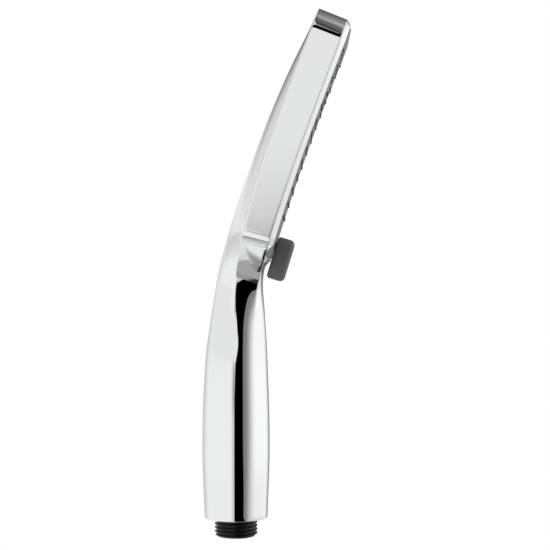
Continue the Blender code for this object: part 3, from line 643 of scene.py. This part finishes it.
def selector_lever(material):
    """Grey lever with softly rounded edges."""
    front_round = 2.6 * MM
    back_round = 1.5 * MM
    rings = []
    for k in range(7):
        turn = pi / 2 * k / 6
        rings.append((LEVER_BACK + back_round * (1 - cos(turn)), back_round * (1 - sin(turn))))
    for k in range(9):
        turn = pi / 2 * k / 8
        rings.append((LEVER_FRONT - front_round * (1 - sin(turn)), front_round * (1 - cos(turn))))
    lever = stacked("lever_skin", [[(x, -v, z) for x, z in lever_outline(inset)] for v, inset in rings])
    sink = rod("sink", CAP_RADIUS + GAP, LEVER_FRONT - 4.6 * MM, LEVER_FRONT + GAP)
    combine(lever, toward_face(sink), "DIFFERENCE")
    socket = rod("socket", SPINDLE_RADIUS + 0.1 * MM, LEVER_BACK - GAP, LEVER_BACK + 3.3 * MM)
    combine(lever, toward_face(socket), "DIFFERENCE")
    place_piece(stand(lever), material, SELECTOR, ("selector_lever",))
    top = LEVER_FRONT - 0.3 * MM
    bevel = 0.2 * MM
    profile = ((CAP_RADIUS, LEVER_FRONT - 2.2 * MM), (CAP_RADIUS, top - bevel), (CAP_RADIUS - bevel, top))
    cap = lathe("lever_cap_skin", profile, 32, solid=True)
    place_piece(stand(toward_face(cap)), material, SELECTOR, ("lever_screw_cap",))


# ---------------------------------------------------------------- hose inlet

def thread_lift(turns):
    """Height of the pipe thread between root (0) and crest (1): straight flanks, rounded crest and root."""
    phase = abs((turns - floor(turns)) * 2 - 1)
    flank = min(1.0, max(0.0, (phase - 0.12) / 0.76))
    return flank * flank * (3 - 2 * flank) * 0.5 + flank * 0.5


def inlet_nipple(material):
    """Black threaded inlet: a true helix that fades out at both ends."""
    sides = 96
    rows = 110
    lead = 0.9 * MM
    rings = []
    for i in range(rows + 1):
        height = THREAD_LENGTH * i / rows
        fade = max(0.0, min(1.0, height / lead, (THREAD_LENGTH - height) / lead))
        ring = []
        for j in range(sides):
            lift = thread_lift(height / THREAD_PITCH - j / sides)
            radius = THREAD_ROOT + (THREAD_RADIUS - THREAD_ROOT) * lift * fade
            ring.append((radius * cos(tau * j / sides), radius * sin(tau * j / sides), height))
        rings.append(ring)
    foot = HANDLE_END + 0.4 * MM
    bevel = 0.3 * MM
    collar = ((THREAD_ROOT, foot), (COLLAR_RADIUS - bevel, foot), (COLLAR_RADIUS, foot + bevel),
              (COLLAR_RADIUS, COLLAR_TOP), (SLEEVE_RADIUS, COLLAR_TOP), (SLEEVE_RADIUS, NIPPLE_TOP))
    bore = ((SOCKET_RADIUS, NIPPLE_TOP), (SOCKET_RADIUS, SOCKET_FLOOR), (PORT_RADIUS, SOCKET_FLOOR),
            (PORT_RADIUS, BORE_END), (INLET_BORE, BORE_END), (INLET_BORE, bevel), (INLET_BORE + bevel, 0))
    rings += [circle(radius, height, sides) for radius, height in collar + bore]
    nipple = stacked("inlet_skin", rings, closed=True)
    return place_piece(nipple, material, HOST, ("inlet_nipple",))


# ---------------------------------------------------------------- studio

def world_math(operation, *values):
    """One step of arithmetic on world values and plain numbers, at least one of them a world value."""
    tree = next(value.id_data for value in values if not isinstance(value, (int, float)))
    node = tree.nodes.new("ShaderNodeMath")
    node.operation = operation
    for socket, value in zip(node.inputs, values):
        if isinstance(value, (int, float)):
            socket.default_value = value
        else:
            tree.links.new(value, socket)
    return node.outputs[0]


def times(first, second):
    return world_math("MULTIPLY", first, second)


def plus(first, second):
    return world_math("ADD", first, second)


def minus(first, second):
    return world_math("SUBTRACT", first, second)


def inverse(value):
    return minus(1.0, value)


def fade(value, low, high, start=0.0, end=1.0):
    """A soft step of a world value between two limits."""
    tree = value.id_data
    node = tree.nodes.new("ShaderNodeMapRange")
    node.interpolation_type = "SMOOTHSTEP"
    tree.links.new(value, node.inputs["Value"])
    for key, number in (("From Min", low), ("From Max", high), ("To Min", start), ("To Max", end)):
        node.inputs[key].default_value = number
    return node.outputs["Result"]


def mixed(first, second, share):
    return plus(times(first, inverse(share)), times(second, share))


def dimmed(light, depth, *shares):
    """The light, weakened by a depth where all the shares are full."""
    where = shares[0]
    for share in shares[1:]:
        where = times(where, share)
    return times(light, inverse(times(where, depth)))


def side_panels(turn, rise):
    """Panels left and right of the camera, with an even one above them on the camera's side."""
    left = times(fade(turn, -153, -108, 0.6, 0.88), fade(turn, -17, -5, 1.0, 0.62))
    near_right = fade(turn, 19, 27, 0.06, 0.2)
    far_right = plus(fade(turn, 32, 76, 0.0, 0.8), fade(turn, 125, 169, 0.0, -0.8))
    sides = mixed(left, plus(near_right, far_right), fade(turn, 8, 9))
    return mixed(sides, 0.82, times(fade(rise, 1.0, 8.0), fade(turn, 6, 16, 1.0, 0.0)))


def weak_patches(light, turn, rise):
    """Weaker light just over the horizon at the camera, high at the back, and low on the face side."""
    light = dimmed(light, 0.35, fade(turn, -14, -6), fade(turn, 4, 8, 1.0, 0.0),
                   fade(rise, -3, 0.5), fade(rise, 1.6, 4.5, 1.0, 0.0))
    light = dimmed(light, 0.75, fade(turn, -176, -150, 1.0, 0.15), fade(turn, -150, -130, 1.0, 0.0),
                   fade(rise, 8, 12))
    return dimmed(light, 0.34, fade(turn, 50, 66), fade(turn, 125, 140, 1.0, 0.0),
                  fade(rise, -24, -6, 1.0, 0.0))


def light_below(x, toward_face_side):
    """Lighter away from the camera, and dark towards the face side."""
    return dimmed(fade(x, -0.55, 0.45, 0.3, 0.78), 0.9, fade(toward_face_side, -0.035, 0.09))


def dark_gap(turn, rise):
    """Black beside the camera, its left limit leaning over as it goes up; one elsewhere."""
    lean = times(world_math("MAXIMUM", rise, 0.0), 0.9)
    past_left = minus(turn, plus(lean, -4.0))
    past_right = minus(turn, fade(rise, -40, -4, 44, 25))
    across = times(fade(past_left, 0.0, 1.6), fade(past_right, 0.0, 2.5, 1.0, 0.0))
    height = times(fade(rise, -55.5, -54.5), fade(rise, 30, 44, 1.0, 0.0))
    return inverse(times(across, height))


def ceiling(x, rise):
    """Ceiling that dims towards its middle, over a thin black seam on the camera's side."""
    seam = times(fade(rise, 31, 32.5), fade(rise, 43, 44.5, 1.0, 0.0))
    seam = times(seam, fade(times(x, -1.0), 0.0, 0.1))
    far = mixed(1.0, fade(rise, 20, 40, 1.0, 0.5), fade(x, 0.0, 0.2))
    return times(inverse(seam), times(fade(rise, 40, 80, 1.0, 0.33), far))


def studio_world():
    """Light set for each direction, so that dark areas stand where the chrome should show them.

    Turn counts degrees from -X, where the camera stands, towards -Y, and rise counts up from the horizon.
    The light reaches surfaces and reflections, while the camera itself sees plain white.
    """
    world = bpy.data.worlds.new("studio")
    bpy.context.scene.world = world
    world.use_nodes = True
    tree = world.node_tree
    place = tree.nodes.new("ShaderNodeTexCoord")
    split = tree.nodes.new("ShaderNodeSeparateXYZ")
    tree.links.new(place.outputs["Generated"], split.inputs[0])
    x, y, z = split.outputs
    degrees = 180 / pi
    toward_face_side = times(y, -1.0)
    turn = times(world_math("ARCTAN2", toward_face_side, times(x, -1.0)), degrees)
    rise = times(world_math("ARCSINE", z), degrees)

    light = weak_patches(side_panels(turn, rise), turn, rise)
    light = mixed(light, light_below(x, toward_face_side), fade(rise, -57, -53, 1.0, 0.0))
    light = times(times(light, dark_gap(turn, rise)), ceiling(x, rise))

    backdrop = tree.nodes["Background"]
    backdrop.inputs["Strength"].default_value = 1.0
    tree.links.new(light, backdrop.inputs["Color"])
    white = tree.nodes.new("ShaderNodeBackground")
    white.inputs["Color"].default_value = (1, 1, 1, 1)
    path = tree.nodes.new("ShaderNodeLightPath")
    choose = tree.nodes.new("ShaderNodeMixShader")
    tree.links.new(path.outputs["Is Camera Ray"], choose.inputs["Fac"])
    tree.links.new(backdrop.outputs[0], choose.inputs[1])
    tree.links.new(white.outputs[0], choose.inputs[2])
    tree.links.new(choose.outputs[0], tree.nodes["World Output"].inputs["Surface"])


def studio_floor():
    """Pale floor disc, kept small and far below so that the chrome reflects little of it."""
    bpy.ops.mesh.primitive_circle_add(vertices=96, radius=0.3, fill_type="NGON", location=(0, 0, -0.8))
    floor_disc = bpy.context.object
    floor_disc.name = "floor"
    paper = plastic_material("floor_paper", (0.86, 0.86, 0.86), (0.9, 0.9, 0.9), 0.9)
    floor_disc.data.materials.append(paper)


def camera():
    """Level view of the side, turned a little towards the spray face."""
    distance = 0.65
    turn = radians(1.0)
    centre = Vector((0, -0.0191, 0.1275))
    width = 0.2695
    lens = bpy.data.cameras.new("camera")
    lens.sensor_width = 36.0
    lens.lens = 36.0 * distance / width
    eye = bpy.data.objects.new("camera", lens)
    eye.location = centre + Vector((-cos(turn), -sin(turn), 0)) * distance
    eye.rotation_euler = (centre - eye.location).to_track_quat("-Z", "Y").to_euler()
    bpy.context.scene.collection.objects.link(eye)
    bpy.context.scene.camera = eye


# ---------------------------------------------------------------- scene

def dress_inner_nodes():
    """Materials for the CAD nodes that stay as they are."""
    steel = steel_material("bright_steel")
    rubber = rubber_material("black_rubber", (0.02, 0.02, 0.02), (0.035, 0.035, 0.035))
    shades = {"yellow": (0.7, 0.66, 0.2), "pale": (0.8, 0.8, 0.78), "blue": (0.1, 0.2, 0.55),
              "dark": (0.14, 0.14, 0.15), "red": (0.65, 0.2, 0.12), "grey": (0.3, 0.3, 0.32)}
    plastics = {key: plastic_material(key + "_moulding", tuple(c * 0.92 for c in rgb), rgb, 0.42)
                for key, rgb in shades.items()}
    finishes = {
        "inlet_lock_ring": steel, "inlet_filter_screen": steel, "check_valve_spring": steel,
        "barrel_spring_washer": steel, "lever_screw": steel, "turbine_pin": steel,
        "hose_washer_seal": rubber, "flow_regulator_ring": rubber, "tube_seal_lower": rubber,
        "tube_seal_upper": rubber, "spindle_seal": rubber,
        "flow_regulator_body": plastics["yellow"], "check_valve_body": plastics["pale"],
        "check_valve_guide": plastics["pale"], "check_valve_poppet": plastics["blue"],
        "waterway_tube": plastics["pale"], "tube_support": plastics["grey"],
        "manifold_body": plastics["pale"], "manifold_cover": plastics["pale"],
        "diverter_barrel": plastics["dark"], "turbine_rotor": plastics["red"]}
    for number in range(1, 5):
        finishes["manifold_screw_%d" % number] = steel
    for name, finish in finishes.items():
        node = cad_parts[name]
        node.data.materials.clear()
        node.data.materials.append(finish)
        smooth(node)


def build():
    body_shell(chrome_material("polished_chrome", 0.02), chrome_material("edge_chrome", 0.5))
    face_plate(plastic_material("plate_grey", (0.36, 0.365, 0.37), (0.42, 0.425, 0.43), 0.3))
    nozzle_mat(rubber_material("nozzle_silicone", (0.12, 0.12, 0.125), (0.16, 0.16, 0.165)))
    selector_lever(plastic_material("lever_grey", (0.18, 0.182, 0.185), (0.205, 0.207, 0.21), 0.42))
    inlet_nipple(plastic_material("inlet_black", (0.008, 0.008, 0.009), (0.014, 0.014, 0.015),
                                  0.22, 400.0, 0.1))
    dress_inner_nodes()
    studio_world()
    studio_floor()
    camera()
    bpy.context.scene.view_settings.view_transform = "Standard"


build()
